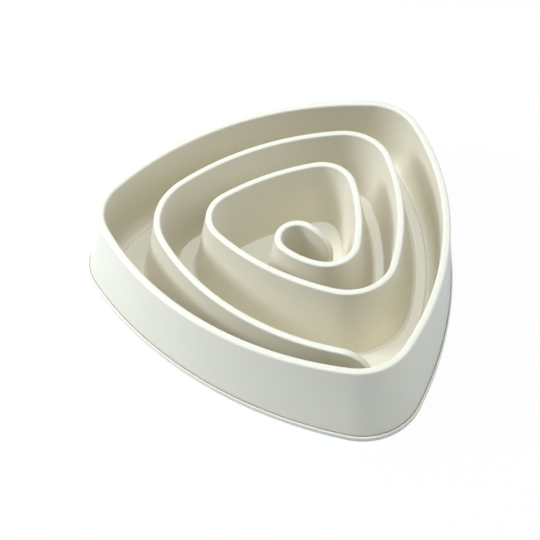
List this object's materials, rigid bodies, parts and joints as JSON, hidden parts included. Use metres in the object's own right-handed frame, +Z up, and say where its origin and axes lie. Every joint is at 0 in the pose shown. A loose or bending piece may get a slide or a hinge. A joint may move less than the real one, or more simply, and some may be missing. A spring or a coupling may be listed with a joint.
{
  "type": "slow feeder bowl",
  "caption": "Rounded-triangle slow feeder bowl for a dog or cat, with a tall spiral maze wall on its floor, a hollow flared skirt and a non-slip base ring.",
  "frame": {"origin": "middle of the footprint's box, on the table", "axes": "+Z up; one corner of the plan points to +Y, the other two to the left front and the right front"},
  "size_m": [0.2402, 0.2338, 0.0514],
  "materials": {
    "bowl_plastic": "satin, smooth moulded polypropylene, warm ivory",
    "maze_plastic": "satin, smooth moulded polypropylene, warm ivory",
    "ring_rubber": "matte, soft moulded elastomer, off-white"
  },
  "bodies": {
    "root": {"bowl_shell": "bowl_plastic", "maze_plate": "maze_plastic", "spiral_wall": "maze_plastic", "base_ring": "ring_rubber"}
  },
  "joints": []
}
